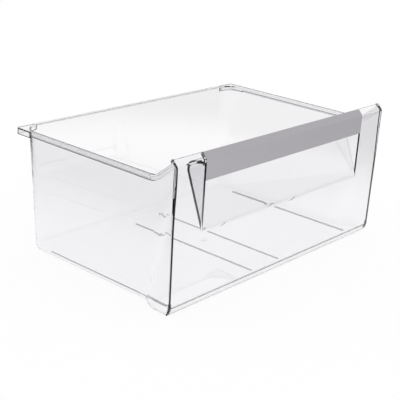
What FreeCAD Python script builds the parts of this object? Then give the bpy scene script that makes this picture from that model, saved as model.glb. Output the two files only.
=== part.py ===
"""Crisper drawer of a refrigerator: a one-piece clear moulded tub and the grey grip strip clipped over its front.

Millimetres. X runs across the front, Y from the front to the rear, Z up. The outlines below are drawn with
the front face at Y = 0; the finished pieces are moved so that the origin is the middle of the footprint, on
the plane that the drawer rests on.
"""
import FreeCAD
import Part

import math
import os

from FreeCAD import Vector

# Overall size
WIDTH = 450.0  # front panel and side rims, outside to outside
DEPTH = 293.0  # front face to the rear edge of the rim
BEND_Z = 197.3  # where the front panel folds back into its lip
RIM_DROP = 18.9  # top of the side and rear rim, below the fold
LIP_RISE = 8.0  # height of the lip above the fold
LIP_SETBACK = 7.4  # how far the lip leans back

# Walls of the moulding
TUB_WALL = 2.3
FLOOR_WALL = 2.3
PANEL_WALL = 3.0
POCKET_WALL = 2.8
POCKET_SIDE_WALL = 1.8

# Tub: its mouth inside the rim, and how its walls draw in to the floor
RIM_OVERHANG = 6.1  # mouth edge to the outside of the rim
SIDE_DRAFT = 12.7  # how much nearer to the middle each side wall is at the floor
REAR_OVERHANG = 5.8
REAR_DRAFT = 4.5  # how much further forward the rear wall is at the floor
FOOT_CORNER_RADIUS = 22.0
RIM_CORNER_RADIUS = 29.0
FOOT_FILLET = 8.5
FRONT_FILLET = 13.0
PANEL_FOLD_RADIUS = 3.0
PANEL_STEP = 0.8  # the rounded foot band is set back from the panel's face by this much
PANEL_STEP_Z = 15.2
PANEL_EDGE_REACH = 6.0  # how far back the foot band's ends follow its curve
PANEL_EDGE_DRAFT = 2.7  # the panel's side edges draw in this much from the rim to the floor

# Flare that widens the drafted side walls to the edges of the front panel
PANEL_LEDGE = 0.3  # the panel's edge stands out past the flare by this much
FLARE_START_FOOT = 70.0
FLARE_END_FOOT = 27.0
FLARE_START_RIM = 16.0
FLARE_END_RIM = -14.0  # ahead of the front face: the flare runs out into the panel lower down
FLARE_RUN = 60.0  # how far ahead of the front face the plan is drawn
FLARE_INNER_SHIFT = 1.2  # the inner side of the flare lies this much nearer to the front

# Rim: a flat flange with a turned-down skirt, which runs on the ledges of the cabinet
RIM_PLATE = 2.0
SKIRT_HEIGHT = 6.8
SKIRT_WALL = 1.8
RIM_OUTER_RADIUS = 3.5
RAMP_FOOT_Y = 35.1  # the side rims rise from here to the lip of the panel
RAMP_TOP_Y = 9.6
RAMP_OVER_BEND = 1.5  # top of this rise, above the fold
RAMP_RADIUS = 20.0
EAR_LENGTH = 28.0
EAR_DROP = 2.0  # the skirt round the rear corners is this much deeper
EAR_REACH = 30.0  # and ends this far in along the rear

# Ledge moulded round the inside of the mouth, on the sides and rear corners
REBATE_DEPTH = 1.0
REBATE_HEIGHT = 6.8
REBATE_START_Y = 44.0

# Skid ribs under the floor
RIB_HEIGHT = 1.2
RIB_WIDTH = 2.0
RIB_INNER_X = 30.5
RIB_OUTER_INSET = 10.8  # from the side wall
RIB_FRONT_Y = 26.6
RIB_REAR_Y = 250.8
GATE_RADIUS = 4.0
GATE_HEIGHT = 0.5
GATE_Y = 141.0

# Finger pocket in the front panel
POCKET_INSET = 54.2  # from the edge of the panel
POCKET_SIDE_DRAFT = 1.0  # degrees
POCKET_HEIGHT = 85.7  # roof to where the leaning back would meet the front face
POCKET_BACK_LEAN = 21.9  # degrees from upright
POCKET_SILL_LEAN = 2.5  # degrees; the back leaves the panel's face at this angle and then curves into its lean
POCKET_SILL_DEPTH = 0.2  # where the two leans would meet, behind the front face
POCKET_SILL_RADIUS = 26.0
POCKET_SILL_FRONT = 1.0  # how far ahead of the face its side view is drawn
POCKET_ROOF_DROP = 5.0  # below the fold of the panel
POCKET_ROOF_FALL = 13.0  # degrees, down towards the back
POCKET_CROWN_RADIUS = 9.0

# Grip strip
STRIP_WALL = 2.0
STRIP_HEIGHT = 27.4  # lower edge to the fold
STRIP_BEAD = 1.4  # extra thickness of the rounded lower edge
STRIP_BEAD_HEIGHT = 4.0
STRIP_HOOK_WALL = 1.5
STRIP_HOOK_LEG = 6.0
STRIP_SHELF_WALL = 1.6
STRIP_SHELF_REACH = 6.0
STRIP_CLEARANCE = 0.15
SNAP_RIDGE = 0.8  # ridge under the pocket's roof that the strip's shelf snaps behind
SNAP_WIDTH = 1.2
RIDGE_OFFSET = 1.0

# Worked out from the above
HALF_WIDTH = WIDTH / 2
LIP_Z = BEND_Z + LIP_RISE
RIM_Z = BEND_Z - RIM_DROP
RAMP_TOP_Z = BEND_Z + RAMP_OVER_BEND
POCKET_ROOF_Z = BEND_Z - POCKET_ROOF_DROP
POCKET_SILL_Z = POCKET_ROOF_Z - POCKET_HEIGHT
STRIP_FOOT_Z = BEND_Z - STRIP_HEIGHT
FLOOR_Z = RIB_HEIGHT
LIP_ANGLE = math.atan2(LIP_RISE, LIP_SETBACK)
MOUTH_HALF_WIDTH = HALF_WIDTH - RIM_OVERHANG
MOUTH_REAR_Y = DEPTH - REAR_OVERHANG
FOOT_HALF_WIDTH = MOUTH_HALF_WIDTH + TUB_WALL - SIDE_DRAFT
RIB_OUTER_X = FOOT_HALF_WIDTH - RIB_OUTER_INSET
EAR_END_X = HALF_WIDTH - EAR_REACH
POCKET_HALF_WIDTH = HALF_WIDTH - POCKET_INSET
REACH = 20.0  # how far cutting shapes stand past what they cut
TINY = 1e-6


def in_side_view(x):
    """Places a point of a side view, (y, z), at a given x."""
    return lambda point: Vector(x, point.x, point.y)


def in_plan(z):
    """Places a point of a plan view, (x, y), at a given height."""
    return lambda point: Vector(point.x, point.y, z)


def in_front_view(y):
    """Places a point of a front view, (x, z), at a given depth."""
    return lambda point: Vector(point.x, y, point.y)


def rounded_outline(corners, place):
    """Closed wire through corners (a, b, radius), with each corner rounded by its radius."""
    rounds = []
    for i, (a, b, radius) in enumerate(corners):
        here = Vector(a, b, 0)
        to_before = (Vector(corners[i - 1][0], corners[i - 1][1], 0) - here).normalize()
        following = corners[(i + 1) % len(corners)]
        to_after = (Vector(following[0], following[1], 0) - here).normalize()
        half_angle = to_before.getAngle(to_after) / 2
        run = radius / math.tan(half_angle)
        middle = here
        if radius > 0:
            inward = (to_before + to_after).normalize()
            middle = here + inward * (radius / math.sin(half_angle) - radius)
        rounds.append((here + to_before * run, middle, here + to_after * run))
    edges = []
    for i, (start, middle, end) in enumerate(rounds):
        if corners[i][2] > 0:
            edges.append(Part.Arc(place(start), place(middle), place(end)).toShape())
        following_start = rounds[(i + 1) % len(rounds)][0]
        if (following_start - end).Length > TINY:
            edges.append(Part.makeLine(place(end), place(following_start)))
    return Part.Wire(edges)


def grown(corners, distance):
    """Corners, listed anticlockwise, of the same outline moved outward by a distance."""
    moved = []
    for i, (a, b, radius) in enumerate(corners):
        here = Vector(a, b, 0)
        arriving = (here - Vector(corners[i - 1][0], corners[i - 1][1], 0)).normalize()
        following = corners[(i + 1) % len(corners)]
        leaving = (Vector(following[0], following[1], 0) - here).normalize()
        normal_in = Vector(arriving.y, -arriving.x, 0)
        normal_out = Vector(leaving.y, -leaving.x, 0)
        shift = (normal_in + normal_out) * (distance / (1 + normal_in.dot(normal_out)))
        turns_left = arriving.cross(leaving).z > 0
        new_radius = radius + distance if turns_left else radius - distance
        moved.append((a + shift.x, b + shift.y, max(new_radius, 0) if radius > 0 else 0))
    return moved


def side_prism(corners, x_from, x_to):
    """Solid with a given side view, from one x to another."""
    face = Part.Face(rounded_outline(corners, in_side_view(x_from)))
    return face.extrude(Vector(x_to - x_from, 0, 0))


def plan_prism(corners, z_from, z_to):
    """Solid with a given plan, from one height to another."""
    face = Part.Face(rounded_outline(corners, in_plan(z_from)))
    return face.extrude(Vector(0, 0, z_to - z_from))


def both_sides(shape):
    """A piece on the +X side together with its mirror image."""
    return shape.fuse(shape.mirror(Vector(0, 0, 0), Vector(1, 0, 0)))


def front_fold(depth):
    """Fold of the front panel, as (y, z), on a face set in by a depth."""
    return depth, BEND_Z - depth * (1 - math.sin(LIP_ANGLE)) / math.cos(LIP_ANGLE)


def lip_tip(depth, back_off=0.0):
    """End of the lip, as (y, z), on a face set in by a depth and shortened along the lip."""
    y = LIP_SETBACK + depth * math.sin(LIP_ANGLE) - back_off * math.cos(LIP_ANGLE)
    z = LIP_Z - depth * math.cos(LIP_ANGLE) - back_off * math.sin(LIP_ANGLE)
    return y, z


def tub_outline(z, inset, flare_shift=0.0):
    """Plan of the tub at a height, as edges: drafted sides, round rear corners, flare out to the front panel.

    It runs on in front of the panel, because the flare reaches the front face part of the way up.
    """
    rise = (z - FLOOR_Z) / (RIM_Z - FLOOR_Z)

    def between(foot, rim):
        return foot + (rim - foot) * rise

    side = between(FOOT_HALF_WIDTH, MOUTH_HALF_WIDTH + TUB_WALL) - inset
    front = between(HALF_WIDTH - PANEL_EDGE_DRAFT, HALF_WIDTH) - PANEL_LEDGE - inset
    rear = between(MOUTH_REAR_Y + TUB_WALL - REAR_DRAFT, MOUTH_REAR_Y + TUB_WALL) - inset
    corner = between(FOOT_CORNER_RADIUS, RIM_CORNER_RADIUS) - inset
    flare_start = between(FLARE_START_FOOT, FLARE_START_RIM) - flare_shift
    flare_end = between(FLARE_END_FOOT, FLARE_END_RIM) - flare_shift
    flare_middle = (flare_start + flare_end) / 2

    def line(start, end):
        return Part.makeLine(Vector(*start, z), Vector(*end, z))

    def flare(sign, points):
        curve = Part.BezierCurve()
        curve.setPoles([Vector(sign * x, y, z) for x, y in points])
        return curve.toShape()

    def quarter(centre_x, centre_y, start_degrees):
        turns = [math.radians(start_degrees + turn) for turn in (0, 45, 90)]
        points = [Vector(centre_x + corner * math.cos(t), centre_y + corner * math.sin(t), z) for t in turns]
        return Part.Arc(*points).toShape()

    swell = [(front, flare_end), (front, flare_middle), (side, flare_middle), (side, flare_start)]
    return [
        line((-front, -FLARE_RUN), (front, -FLARE_RUN)),
        line((front, -FLARE_RUN), (front, flare_end)),
        flare(1, swell),
        line((side, flare_start), (side, rear - corner)),
        quarter(side - corner, rear - corner, 0),
        line((side - corner, rear), (-side + corner, rear)),
        quarter(-side + corner, rear - corner, 90),
        line((-side, rear - corner), (-side, flare_start)),
        flare(-1, swell[::-1]),
        line((-front, flare_end), (-front, -FLARE_RUN)),
    ]


def ruled_wall(lower, upper):
    """Face between two edges of the same kind, flat where both are straight."""
    if lower.Curve.TypeId != "Part::GeomLine":
        return Part.makeRuledSurface(lower, upper)
    corners = [edge.Vertexes[i].Point for edge, i in ((lower, 0), (lower, 1), (upper, 1), (upper, 0))]
    return Part.Face(Part.makePolygon(corners + corners[:1]))


def drafted_block(z_from, z_to, fillet, **outline):
    """Tapered block between two plans of the tub, with its lower edge rounded at the sides and the rear."""
    lower = tub_outline(z_from, **outline)
    upper = tub_outline(z_to, **outline)
    walls = [ruled_wall(*pair) for pair in zip(lower, upper)]
    shell = Part.makeShell(walls + [Part.Face(Part.Wire(lower)), Part.Face(Part.Wire(upper))])
    shell.sewShape()
    block = Part.makeSolid(shell)
    if block.Volume < 0:
        block.reverse()
    if fillet <= 0:
        return block
    foot = [edge for edge in block.Edges
            if edge.BoundBox.ZMax < z_from + TINY and edge.BoundBox.YMax > -FLARE_RUN + 1.0]
    return block.makeFillet(fillet, foot)


def front_section():
    """Side view of all that lies behind the front face and its lip, anticlockwise."""
    return [
        (PANEL_STEP, FLOOR_Z, FRONT_FILLET),
        (DEPTH + REACH, FLOOR_Z, 0),
        (DEPTH + REACH, LIP_Z, 0),
        (*lip_tip(0), 0),
        (*front_fold(0), PANEL_FOLD_RADIUS),
        (0.0, PANEL_STEP_Z, 0),
        (PANEL_STEP, PANEL_STEP_Z, 0),
    ]


def cavity_section():
    """Side view of the space inside the front panel and above the floor."""
    top = LIP_Z + REACH
    return [
        (PANEL_WALL, FLOOR_Z + FLOOR_WALL, FRONT_FILLET + PANEL_STEP - PANEL_WALL),
        (DEPTH + REACH, FLOOR_Z + FLOOR_WALL, 0),
        (DEPTH + REACH, top, 0),
        (LIP_SETBACK, top, 0),
        (*lip_tip(0), 0),
        (*lip_tip(PANEL_WALL), 0),
        (*front_fold(PANEL_WALL), PANEL_FOLD_RADIUS - 1),
    ]


def cavity():
    """Space for the food: the tapered inside of the tub."""
    floor = FLOOR_Z + FLOOR_WALL
    inside = drafted_block(
        floor, LIP_Z + REACH, FOOT_FILLET - TUB_WALL,
        inset=TUB_WALL, flare_shift=FLARE_INNER_SHIFT,
    )
    return inside.common(side_prism(cavity_section(), -WIDTH, WIDTH))


def ramp_line(depth):
    """Top edge of the side rim as (y, z, radius), set down by a depth: level, then rising to the lip."""
    slope = math.atan2(RAMP_TOP_Z - RIM_Z, RAMP_FOOT_Y - RAMP_TOP_Y)
    foot_shift = depth * math.tan(slope / 2)
    drop = depth / math.cos(slope)
    foot = (RAMP_FOOT_Y - foot_shift, RIM_Z - depth, RAMP_RADIUS + depth)
    rise_to_front = (RAMP_TOP_Y - PANEL_WALL) * math.tan(slope)
    top = (PANEL_WALL, RAMP_TOP_Z + rise_to_front - drop, 0)
    return top, foot


def above_rim():
    """All that lies above the side rims, behind the lip of the panel."""
    top = LIP_Z + REACH
    _, foot = ramp_line(0)
    return side_prism(
        [(RAMP_TOP_Y, RAMP_TOP_Z, 0), foot, (DEPTH + REACH, RIM_Z, 0), (DEPTH + REACH, top, 0), (RAMP_TOP_Y, top, 0)],
        -WIDTH, WIDTH,
    )


def rim_band(depth, rear_y, x_from, x_to):
    """Band under the top edge of one side rim, of a given depth, from the panel to the rear."""
    top, foot = ramp_line(0)
    low_top, low_foot = ramp_line(depth)
    band = [low_top, low_foot, (rear_y, RIM_Z - depth, 0), (rear_y, RIM_Z, 0), foot, top]
    return both_sides(side_prism(band, x_from, x_to))


def rim_plan(inset=0.0):
    """Outline of the flange at the rear of the mouth, with nearly sharp corners, anticlockwise."""
    half = HALF_WIDTH - inset
    rear = DEPTH - inset
    radius = max(RIM_OUTER_RADIUS - inset, 0.5)
    front = DEPTH - EAR_LENGTH
    return [(-half, front, 0), (half, front, 0), (half, rear, radius), (-half, rear, radius)]


def rim():
    """Flange round the mouth with its skirt, which stops part of the way along the rear."""
    side_end = DEPTH - RIM_OUTER_RADIUS
    flange = rim_band(RIM_PLATE, side_end, MOUTH_HALF_WIDTH, HALF_WIDTH)
    skirt = rim_band(SKIRT_HEIGHT, side_end, HALF_WIDTH - SKIRT_WALL, HALF_WIDTH)
    rear_flange = plan_prism(rim_plan(), RIM_Z - RIM_PLATE, RIM_Z)
    ear_foot = RIM_Z - SKIRT_HEIGHT - EAR_DROP
    behind_skirt = plan_prism(rim_plan(SKIRT_WALL), ear_foot, RIM_Z)
    middle = Part.makeBox(2 * EAR_END_X, DEPTH + REACH, RIM_Z, Vector(-EAR_END_X, 0, 0))
    ears = plan_prism(rim_plan(), ear_foot, RIM_Z).cut([behind_skirt, middle])
    return flange.fuse([skirt, rear_flange, ears])


def rebate():
    """Step round the inside of the mouth, on the sides and the rear corners only."""
    foot = RIM_Z - REBATE_HEIGHT
    step = drafted_block(
        foot, LIP_Z, 0,
        inset=TUB_WALL - REBATE_DEPTH, flare_shift=FLARE_INNER_SHIFT,
    )
    front = Part.makeBox(2 * WIDTH, REBATE_START_Y, LIP_Z, Vector(-WIDTH, 0, 0))
    rear_wall = Part.makeBox(2 * EAR_END_X, 2 * REACH, LIP_Z, Vector(-EAR_END_X, MOUTH_REAR_Y - REACH, 0))
    return step.cut([front, rear_wall])


def front_panel():
    """Flat front with its rounded foot and folded lip, across the full width."""
    foot = HALF_WIDTH - PANEL_EDGE_DRAFT
    outline = [
        (-foot, FLOOR_Z, 0),
        (foot, FLOOR_Z, 0),
        (HALF_WIDTH, RIM_Z, 0),
        (HALF_WIDTH, LIP_Z, 0),
        (-HALF_WIDTH, LIP_Z, 0),
        (-HALF_WIDTH, RIM_Z, 0),
    ]
    front_view = Part.Face(rounded_outline(outline, in_front_view(0))).extrude(Vector(0, DEPTH, 0))
    plate = side_prism(front_section(), -HALF_WIDTH, HALF_WIDTH).common(front_view)
    behind = Part.makeBox(2 * WIDTH, DEPTH + REACH, BEND_Z, Vector(-WIDTH, PANEL_EDGE_REACH, 0))
    return plate.cut([side_prism(cavity_section(), -WIDTH, WIDTH), behind])


def pocket_corners():
    """Side view of the finger pocket, open to the front, anticlockwise."""
    lean = math.tan(math.radians(POCKET_BACK_LEAN))
    fall = math.tan(math.radians(POCKET_ROOF_FALL))
    back_z = (POCKET_ROOF_Z + fall * lean * POCKET_SILL_Z) / (1 + fall * lean)
    back_y = lean * (back_z - POCKET_SILL_Z)
    sill_z = POCKET_SILL_Z + POCKET_SILL_DEPTH / lean
    foot_z = sill_z - (POCKET_SILL_DEPTH + POCKET_SILL_FRONT) / math.tan(math.radians(POCKET_SILL_LEAN))
    return [
        (-REACH, foot_z, 0),
        (-POCKET_SILL_FRONT, foot_z, 0),
        (POCKET_SILL_DEPTH, sill_z, POCKET_SILL_RADIUS),
        (back_y, back_z, POCKET_CROWN_RADIUS),
        (-REACH, POCKET_ROOF_Z + REACH * fall, 0),
    ]


def pocket_half_width(y):
    """Half width of the pocket, whose sides draw in a little towards the back."""
    return POCKET_HALF_WIDTH - y * math.tan(math.radians(POCKET_SIDE_DRAFT))


def pocket_plan(wall):
    """Plan of the pocket, with a wall added all round."""
    front = pocket_half_width(-REACH) + wall
    back = pocket_half_width(3 * REACH) + wall
    return [(-front, -REACH, 0), (front, -REACH, 0), (back, 3 * REACH, 0), (-back, 3 * REACH, 0)]


def pocket_space(wall=0.0, side_wall=0.0):
    """The pocket's hollow, or with walls added the whole of the pocket as seen from inside the drawer."""
    profile = grown(pocket_corners(), wall)
    space = side_prism(profile, -HALF_WIDTH, HALF_WIDTH)
    return space.common(plan_prism(pocket_plan(side_wall), 0, LIP_Z + REACH))


def seat_depths():
    """Depths behind the front face of the two faces of the clear lip under the strip."""
    outer = STRIP_WALL + STRIP_CLEARANCE
    return outer, outer + POCKET_WALL


def strip_seat():
    """Band of the panel above the pocket that carries the strip, set back by the strip's wall."""
    outer, inner = seat_depths()
    end = STRIP_WALL + STRIP_CLEARANCE
    half = POCKET_HALF_WIDTH + POCKET_SIDE_WALL
    low_z = POCKET_ROOF_Z - POCKET_WALL
    band = [
        (outer, low_z, 0),
        (inner, low_z, 0),
        (*front_fold(inner), 0),
        (*lip_tip(inner, end), 0),
        (*lip_tip(outer, end), 0),
        (*front_fold(outer), 0),
    ]
    return side_prism(band, -half, half)


def strip_room():
    """What is cut out of the front of the panel and its lip to let the strip in flush."""
    outer, inner = seat_depths()
    end = STRIP_WALL + STRIP_CLEARANCE
    half = POCKET_HALF_WIDTH
    low_z = POCKET_ROOF_Z - POCKET_WALL
    far = inner + REACH
    room = [
        (-REACH, low_z, 0),
        (outer, low_z, 0),
        (*front_fold(outer), 0),
        (*lip_tip(outer, end), 0),
        (*lip_tip(far, end), 0),
        (*lip_tip(far, -REACH), 0),
        (*lip_tip(-REACH, -REACH), 0),
        (-REACH, BEND_Z, 0),
    ]
    return side_prism(room, -half, half)


def roof_height(y):
    """Height of the underside of the pocket's roof."""
    return POCKET_ROOF_Z - y * math.tan(math.radians(POCKET_ROOF_FALL))


def snap_ridge():
    """Low ridge under the pocket's roof, which holds the strip's shelf."""
    front = STRIP_WALL + STRIP_CLEARANCE + RIDGE_OFFSET
    rear = front + SNAP_WIDTH
    half = POCKET_HALF_WIDTH - POCKET_WALL
    ridge = [
        (front, roof_height(front) - SNAP_RIDGE, SNAP_RIDGE / 3),
        (rear, roof_height(rear) - SNAP_RIDGE, SNAP_RIDGE / 3),
        (rear, roof_height(rear) + SNAP_RIDGE, 0),
        (front, roof_height(front) + SNAP_RIDGE, 0),
    ]
    return side_prism(ridge, -half, half)


def skid_ribs():
    """Four thin ribs under the floor that the drawer rests and slides on."""
    half = RIB_WIDTH / 2
    ribs = []
    for x in (-RIB_OUTER_X, -RIB_INNER_X, RIB_INNER_X, RIB_OUTER_X):
        plan = [
            (x - half, RIB_FRONT_Y, half * 0.9),
            (x + half, RIB_FRONT_Y, half * 0.9),
            (x + half, RIB_REAR_Y, half * 0.9),
            (x - half, RIB_REAR_Y, half * 0.9),
        ]
        ribs.append(plan_prism(plan, 0, FLOOR_Z + FLOOR_WALL / 2))
    return ribs


def gate_mark():
    """Round vestige of the moulding gate, in the middle of the floor's underside."""
    return Part.makeCylinder(GATE_RADIUS, GATE_HEIGHT + TINY, Vector(0, GATE_Y, FLOOR_Z - GATE_HEIGHT))


def drawer_tub():
    """Clear moulded tub: floor, three drafted walls, rim, front panel, finger pocket and skid ribs."""
    outside = drafted_block(FLOOR_Z, LIP_Z + REACH, FOOT_FILLET, inset=0.0)
    outside = outside.common(side_prism(front_section(), -WIDTH, WIDTH))
    shell = outside.fuse([rim(), front_panel()]).cut(above_rim())
    shell = shell.common(side_prism(front_section(), -WIDTH, WIDTH))
    shell = shell.cut([cavity(), rebate()])
    pocket = pocket_space(POCKET_WALL, POCKET_SIDE_WALL).common(side_prism(front_section(), -WIDTH, WIDTH))
    shell = shell.fuse([pocket, strip_seat()])
    shell = shell.cut([pocket_space(), strip_room()])
    shell = shell.fuse([snap_ridge(), gate_mark()] + skid_ribs())
    return shell.removeSplitter()


def strip_outline():
    """Side view of the grip strip: face, fold, hook over the lip's end, snap shelf and rounded lower edge."""
    _, inner = seat_depths()
    hook_inner = inner + STRIP_CLEARANCE
    hook_outer = hook_inner + STRIP_HOOK_WALL
    ridge_front = STRIP_WALL + STRIP_CLEARANCE + RIDGE_OFFSET
    ridge_rear = ridge_front + SNAP_WIDTH
    shelf_top = roof_height(ridge_rear) - SNAP_RIDGE - STRIP_CLEARANCE
    shelf_end = STRIP_WALL + STRIP_SHELF_REACH
    snap_front = ridge_rear + STRIP_CLEARANCE
    snap_top = roof_height(shelf_end) - STRIP_CLEARANCE
    shelf_foot = shelf_top - STRIP_SHELF_WALL
    bead = STRIP_WALL + STRIP_BEAD
    bead_top = STRIP_FOOT_Z + STRIP_BEAD_HEIGHT
    return [
        (0, STRIP_FOOT_Z, 0.8),
        (bead, STRIP_FOOT_Z, 1.2),
        (bead, bead_top - STRIP_BEAD, 0.8),
        (STRIP_WALL, bead_top, 1.0),
        (STRIP_WALL, shelf_foot, 0.6),
        (shelf_end, shelf_foot, 0.6),
        (shelf_end, snap_top, 0.3),
        (snap_front, snap_top, 0.3),
        (snap_front, shelf_top, 0.0),
        (STRIP_WALL, shelf_top, 0.0),
        (*front_fold(STRIP_WALL), 1.0),
        (*lip_tip(STRIP_WALL, STRIP_WALL), 0.0),
        (*lip_tip(hook_inner, STRIP_WALL), 0.0),
        (*lip_tip(hook_inner, STRIP_HOOK_LEG), 0.3),
        (*lip_tip(hook_outer, STRIP_HOOK_LEG), 0.5),
        (*lip_tip(hook_outer), 1.2),
        (*lip_tip(0), 0.6),
        (*front_fold(0), PANEL_FOLD_RADIUS),
    ]


def grip_strip():
    """Grey strip that closes the top of the finger pocket and wraps over the lip of the panel."""
    half = pocket_half_width(STRIP_WALL + STRIP_SHELF_REACH) - STRIP_CLEARANCE
    return side_prism(strip_outline(), -half, half)


def main():
    os.makedirs("parts", exist_ok=True)
    pieces = {"drawer_tub": drawer_tub(), "grip_strip": grip_strip()}
    for name, shape in pieces.items():
        shape.translate(Vector(0, -DEPTH / 2, 0))
        shape.exportStep(f"parts/{name}.step")
        box = shape.BoundBox
        print(name, "valid", shape.isValid(), "solids", len(shape.Solids), "volume", round(shape.Volume),
              "box", [round(v, 2) for v in (box.XMin, box.XMax, box.YMin, box.YMax, box.ZMin, box.ZMax)])


main()
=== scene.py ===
import math

import bpy
from mathutils import Matrix, Vector

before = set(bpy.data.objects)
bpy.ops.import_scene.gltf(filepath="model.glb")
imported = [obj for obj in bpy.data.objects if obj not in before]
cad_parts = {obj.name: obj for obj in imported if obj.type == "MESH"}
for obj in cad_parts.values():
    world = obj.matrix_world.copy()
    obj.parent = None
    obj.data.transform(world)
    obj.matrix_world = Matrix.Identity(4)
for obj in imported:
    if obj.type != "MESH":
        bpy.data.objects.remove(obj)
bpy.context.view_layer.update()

scene = bpy.context.scene
scene.view_settings.view_transform = "Standard"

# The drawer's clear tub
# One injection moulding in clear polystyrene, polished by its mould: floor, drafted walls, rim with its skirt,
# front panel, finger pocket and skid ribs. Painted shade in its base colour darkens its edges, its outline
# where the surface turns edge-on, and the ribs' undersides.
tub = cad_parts["drawer_tub"]


class Socket:
    """One shader socket, so that maths on values reads as an expression."""

    def __init__(self, tree, socket):
        self.tree = tree
        self.socket = socket

    def maths(self, operation, *values):
        return self.add("ShaderNodeMath", {"operation": operation}, *values)

    def add(self, kind, settings, *values, output=0, **named):
        node = self.tree.nodes.new(kind)
        for name, value in settings.items():
            setattr(node, name, value)
        wanted = list(enumerate(values))
        wanted += [(name.replace("_", " "), value) for name, value in named.items()]
        for key, value in wanted:
            if isinstance(key, str):
                key = [socket.enabled and socket.name for socket in node.inputs].index(key)
            if isinstance(value, Socket):
                self.tree.links.new(value.socket, node.inputs[key])
            else:
                node.inputs[key].default_value = value
        return Socket(self.tree, node.outputs[output])

    def blend(self, factor, first, second):
        return self.add("ShaderNodeMix", {"data_type": "RGBA"}, output=2, Factor=factor, A=first, B=second)

    def noise(self, scale, detail):
        settings = {"noise_dimensions": "3D"}
        return self.add("ShaderNodeTexNoise", settings, Vector=self, Scale=scale, Detail=detail)

    def bump(self, strength, distance):
        return self.add("ShaderNodeBump", {}, Strength=strength, Distance=distance, Height=self)

    def along(self, axis):
        """One coordinate: 0 across, 1 from the front to the rear, 2 up."""
        return self.add("ShaderNodeSeparateXYZ", {}, self, output=axis)

    def within(self, middle, reach):
        return self.maths("COMPARE", self, middle, reach)

    def eased(self, first, last, low=0.0):
        """Low at the first value, 1 at the last, and a smooth step between them."""
        settings = {"interpolation_type": "SMOOTHSTEP"}
        return self.add("ShaderNodeMapRange", settings, self, first, last, low, 1.0)

    def __add__(self, other):
        return self.maths("ADD", self, other)

    def __radd__(self, other):
        return self.maths("ADD", other, self)

    def __sub__(self, other):
        return self.maths("SUBTRACT", self, other)

    def __rsub__(self, other):
        return self.maths("SUBTRACT", other, self)

    def __mul__(self, other):
        return self.maths("MULTIPLY", self, other)

    def __rmul__(self, other):
        return self.maths("MULTIPLY", other, self)


def finish_of(name, **constants):
    """A new material, its Principled shader and a Socket on the object coordinates to start from."""
    material = bpy.data.materials.new(name)
    material.use_nodes = True
    shader = material.node_tree.nodes["Principled BSDF"]
    for socket, value in constants.items():
        shader.inputs[socket.replace("_", " ")].default_value = value
    start = Socket(material.node_tree, None)
    return material, shader, start.add("ShaderNodeTexCoord", {}, output="Object")


def plug(shader, name, value):
    value.tree.links.new(value.socket, shader.inputs[name])


def dress(piece, material):
    piece.data.materials.clear()
    piece.data.materials.append(material)


CLEAR_TINT = (0.98, 0.978, 0.988, 1.0)
POLYSTYRENE_IOR = 1.57
ABSORBED = (0.765, 0.76, 0.8, 1.0)
ABSORPTION_PER_M = 16.0
POLISH = 0.012
SCUFF_DULLNESS = 0.03
FLOW_SCALE = 14.0
SCUFF_SCALE = 160.0
FLOW_WAVE = (0.06, 0.002)  # strength, distance
# Painted shade: the near-black colour that the edges, the outline and the ribs' undersides are blended to.
EDGE_SHADE = (0.01, 0.01, 0.013, 1.0)
EDGE_RADIUS = 0.0004
EDGE_TURN = (0.985, 0.955)  # how far the rounded normal agrees with the face: from no edge to a full edge
EDGE_SAMPLES = 8
# Painted shade lines, wider than at the other edges, along the panel's foot band and the skirt's lower edge.
FOOT_EDGE = (0.0145, 0.006)  # middle height and reach of the lines along the panel's foot band
FOOT_EDGE_RADIUS = 0.0036
FOOT_EDGE_GAIN = 0.014
PANEL_BEHIND = -0.14
SKIRT_EDGE = (0.1716, 0.002)  # middle height and reach of the skirt's lower edge
SKIRT_EDGE_RADIUS = 0.0018
SKIRT_INSIDE = 0.2225
# Painted shade on everything lower than this height: the ribs' undersides next to the table.
UNDERSIDE_SHADE_TOP = 0.0007
UNDERSIDE_SHADE_BLUR = 0.0002
# Painted shade in a band round each outer rib, wider than the rib itself.
OUTER_RIB = (0.1977, 0.0024)  # distance from the middle, and reach
OUTER_RIB_RUN = (-0.0078, 0.1121)  # middle and half length
OUTER_RIB_TOP = 0.0013
# Painted shade along the outline: from this slant to edge-on the base colour darkens.
OUTLINE_SLANT = (0.8, 1.0)  # from the first slant to edge-on
clear, clear_shader, place = finish_of(
    "clear_polystyrene", Base_Color=CLEAR_TINT, Transmission_Weight=1.0, IOR=POLYSTYRENE_IOR, Roughness=0.02)
flow = place.noise(FLOW_SCALE, 1.0)
scuffs = place.noise(SCUFF_SCALE, 4.0)
plug(clear_shader, "Roughness", POLISH + SCUFF_DULLNESS * (flow * scuffs))
plug(clear_shader, "Normal", flow.bump(*FLOW_WAVE))
height = place.along(2)
lengthwise = place.along(1)
sideways = place.along(0)
aside = sideways.maths("ABSOLUTE", sideways)
at_foot = height.within(*FOOT_EDGE)
at_panel = lengthwise.maths("LESS_THAN", lengthwise, PANEL_BEHIND)
on_skirt = height.within(*SKIRT_EDGE) * aside.maths("GREATER_THAN", aside, SKIRT_INSIDE)
reach = ((FOOT_EDGE_RADIUS - EDGE_RADIUS) * at_foot + (SKIRT_EDGE_RADIUS - EDGE_RADIUS) * on_skirt
         + EDGE_RADIUS)
facing = place.add("ShaderNodeNewGeometry", {}, output="Normal")
# Painted shade at the edges: the further the rounded normal turns from the face, the darker the base colour.
rounded = place.add("ShaderNodeBevel", {"samples": EDGE_SAMPLES}, Radius=reach)
agreement = place.add("ShaderNodeVectorMath", {"operation": "DOT_PRODUCT"}, rounded, facing, output=1)
edges = (agreement - FOOT_EDGE_GAIN * at_foot * at_panel).eased(*EDGE_TURN)
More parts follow.
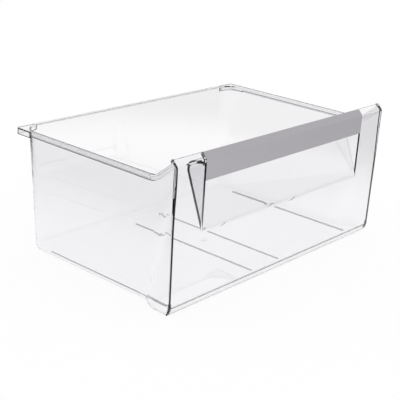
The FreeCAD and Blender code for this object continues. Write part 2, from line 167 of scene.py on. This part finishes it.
# Painted shade under the ribs, and in a wider band round the outer ribs.
painted_underside_shade = place.add("ShaderNodeMapRange", {}, height, UNDERSIDE_SHADE_TOP, UNDERSIDE_SHADE_TOP - UNDERSIDE_SHADE_BLUR, 0.0, 1.0)
at_rib = aside.within(*OUTER_RIB) * lengthwise.within(*OUTER_RIB_RUN)
painted_outer_rib_shade = at_rib * height.maths("LESS_THAN", height, OUTER_RIB_TOP)
# Painted shade on the outline, where the surface turns edge-on.
outline = place.add("ShaderNodeLayerWeight", {}, 0.5, output="Facing").eased(*OUTLINE_SLANT)
painted_rib_shade = painted_underside_shade.maths("MAXIMUM", painted_underside_shade, painted_outer_rib_shade)
darkened = painted_rib_shade.maths("MAXIMUM", painted_rib_shade, edges.maths("MAXIMUM", edges, outline))
plug(clear_shader, "Base Color", place.blend(darkened, CLEAR_TINT, EDGE_SHADE))
depth = place.add("ShaderNodeVolumeAbsorption", {}, ABSORBED, ABSORPTION_PER_M)
clear.node_tree.links.new(depth.socket, clear.node_tree.nodes["Material Output"].inputs["Volume"])
dress(tub, clear)

# The grip strip
# A separate opaque grey moulding with a fine satin surface, snapped over the panel's lip. It closes the top
# of the finger pocket, and its rounded lower edge is what the fingers pull on.
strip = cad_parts["grip_strip"]
STRIP_GREY = (0.38, 0.365, 0.39, 1.0)
STRIP_LIGHT = (0.4, 0.385, 0.41, 1.0)
STRIP_SATIN = 0.38
GRAIN_DULLNESS = 0.1
GRAIN_SCALE = 900.0
MOTTLE_SCALE = 18.0
GRAIN_RELIEF = (0.12, 0.0004)  # strength, distance
grey, grey_shader, place = finish_of("grey_satin_plastic", Base_Color=STRIP_GREY, Roughness=0.42)
grain = place.noise(GRAIN_SCALE, 3.0)
mottle = place.noise(MOTTLE_SCALE, 2.0)
plug(grey_shader, "Base Color", place.blend(mottle, STRIP_GREY, STRIP_LIGHT))
plug(grey_shader, "Roughness", STRIP_SATIN + GRAIN_DULLNESS * grain)
plug(grey_shader, "Normal", grain.bump(*GRAIN_RELIEF))
dress(strip, grey)

# The white table and the surround
# A white table in a white room. What the plastic mirrors, also inside its own edges, is dimmer: a pool of light
# on the table round the drawer, and a room that is bright on the right and behind, and dim in front.
FLOOR_HALF = 6.0
FLOOR_PALE = (0.985, 0.985, 0.985, 1.0)
WHITE = (1.0, 1.0, 1.0, 1.0)
BLACK = (0.0, 0.0, 0.0, 1.0)
SHADE_KEPT = 0.08  # share of the drawer's shadow that the table keeps
POOL_CENTRE = (0.13, 0.07, 0.0)
POOL_FADE = (0.35, 0.68)
LEFT_FADE = (-0.27, -0.44)
TABLE_DIM = 0.05
ROOM_BRIGHT_SIDE = (1.0, 0.5, 0.0)
ROOM_DIM = 0.1


def mirrored_share(start):
    """1 for a ray that a mirror-like surface has turned, 0 for one seen straight."""
    turned = start.add("ShaderNodeLightPath", {}, output="Glossy Depth")
    scattered = start.add("ShaderNodeLightPath", {}, output="Diffuse Depth")
    return turned.maths("GREATER_THAN", turned, 0.5) * scattered.maths("LESS_THAN", scattered, 0.5)


corners = [(-FLOOR_HALF, -FLOOR_HALF, 0), (FLOOR_HALF, -FLOOR_HALF, 0),
           (FLOOR_HALF, FLOOR_HALF, 0), (-FLOOR_HALF, FLOOR_HALF, 0)]
floor_mesh = bpy.data.meshes.new("floor")
floor_mesh.from_pydata(corners, [], [(0, 1, 2, 3)])
floor = bpy.data.objects.new("floor", floor_mesh)
scene.collection.objects.link(floor)
paper, surface, place = finish_of(
    "white_ground", Base_Color=FLOOR_PALE, Roughness=1.0, Specular_IOR_Level=0.0)
apart = place.add("ShaderNodeVectorMath", {"operation": "DISTANCE"}, place, POOL_CENTRE, output=1)
off_table = apart.maths("MAXIMUM", apart.eased(*POOL_FADE), place.along(0).eased(*LEFT_FADE))
dimmed = mirrored_share(place) * (1 - TABLE_DIM) * off_table
glow = place.add("ShaderNodeEmission", {}, place.blend(dimmed, WHITE, BLACK), 1.0)
share = (1 - SHADE_KEPT) * (1 - place.add("ShaderNodeLightPath", {}, output="Is Diffuse Ray"))
ground = place.add("ShaderNodeMixShader", {}, share, Socket(paper.node_tree, surface.outputs[0]), glow)
paper.node_tree.links.new(ground.socket, paper.node_tree.nodes["Material Output"].inputs["Surface"])
dress(floor, paper)

world = bpy.data.worlds.new("surround")
scene.world = world
world.use_nodes = True
start = Socket(world.node_tree, None)
direction = start.add("ShaderNodeTexCoord", {}, output="Generated")
to_bright_side = start.add(
    "ShaderNodeVectorMath", {"operation": "DOT_PRODUCT"}, direction, ROOM_BRIGHT_SIDE, output=1)
unlit = mirrored_share(start) * (1 - to_bright_side.eased(0.0, 1.0, ROOM_DIM))
plug(world.node_tree.nodes["Background"], "Color", start.blend(unlit, WHITE, BLACK))

# The photograph's view
# Where the camera stood, worked out from the drawer's own edges. It was turned a little about its own axis.
VIEW_TURN = math.radians(-49.593)
VIEW_RISE = math.radians(20.054)
VIEW_ROLL = math.radians(3.73)
VIEW_PLACE = Vector((-0.99451, -0.84070, 0.53867))
LENS_MM = 85.24
SENSOR_MM = 36.0
NEAREST = 0.05
back = Vector((math.sin(VIEW_TURN) * math.cos(VIEW_RISE), -math.cos(VIEW_TURN) * math.cos(VIEW_RISE),
               math.sin(VIEW_RISE)))
right = Vector((math.cos(VIEW_TURN), math.sin(VIEW_TURN), 0))
up = back.cross(right)
rolled_right = math.cos(VIEW_ROLL) * right + math.sin(VIEW_ROLL) * up
rolled_up = math.cos(VIEW_ROLL) * up - math.sin(VIEW_ROLL) * right
camera_data = bpy.data.cameras.new("photo_view")
camera_data.lens = LENS_MM
camera_data.sensor_width = SENSOR_MM
camera_data.clip_start = NEAREST
camera = bpy.data.objects.new("photo_view", camera_data)
turn = Matrix((rolled_right, rolled_up, back)).transposed().to_4x4()
camera.matrix_world = Matrix.Translation(VIEW_PLACE) @ turn
scene.collection.objects.link(camera)
scene.camera = camera
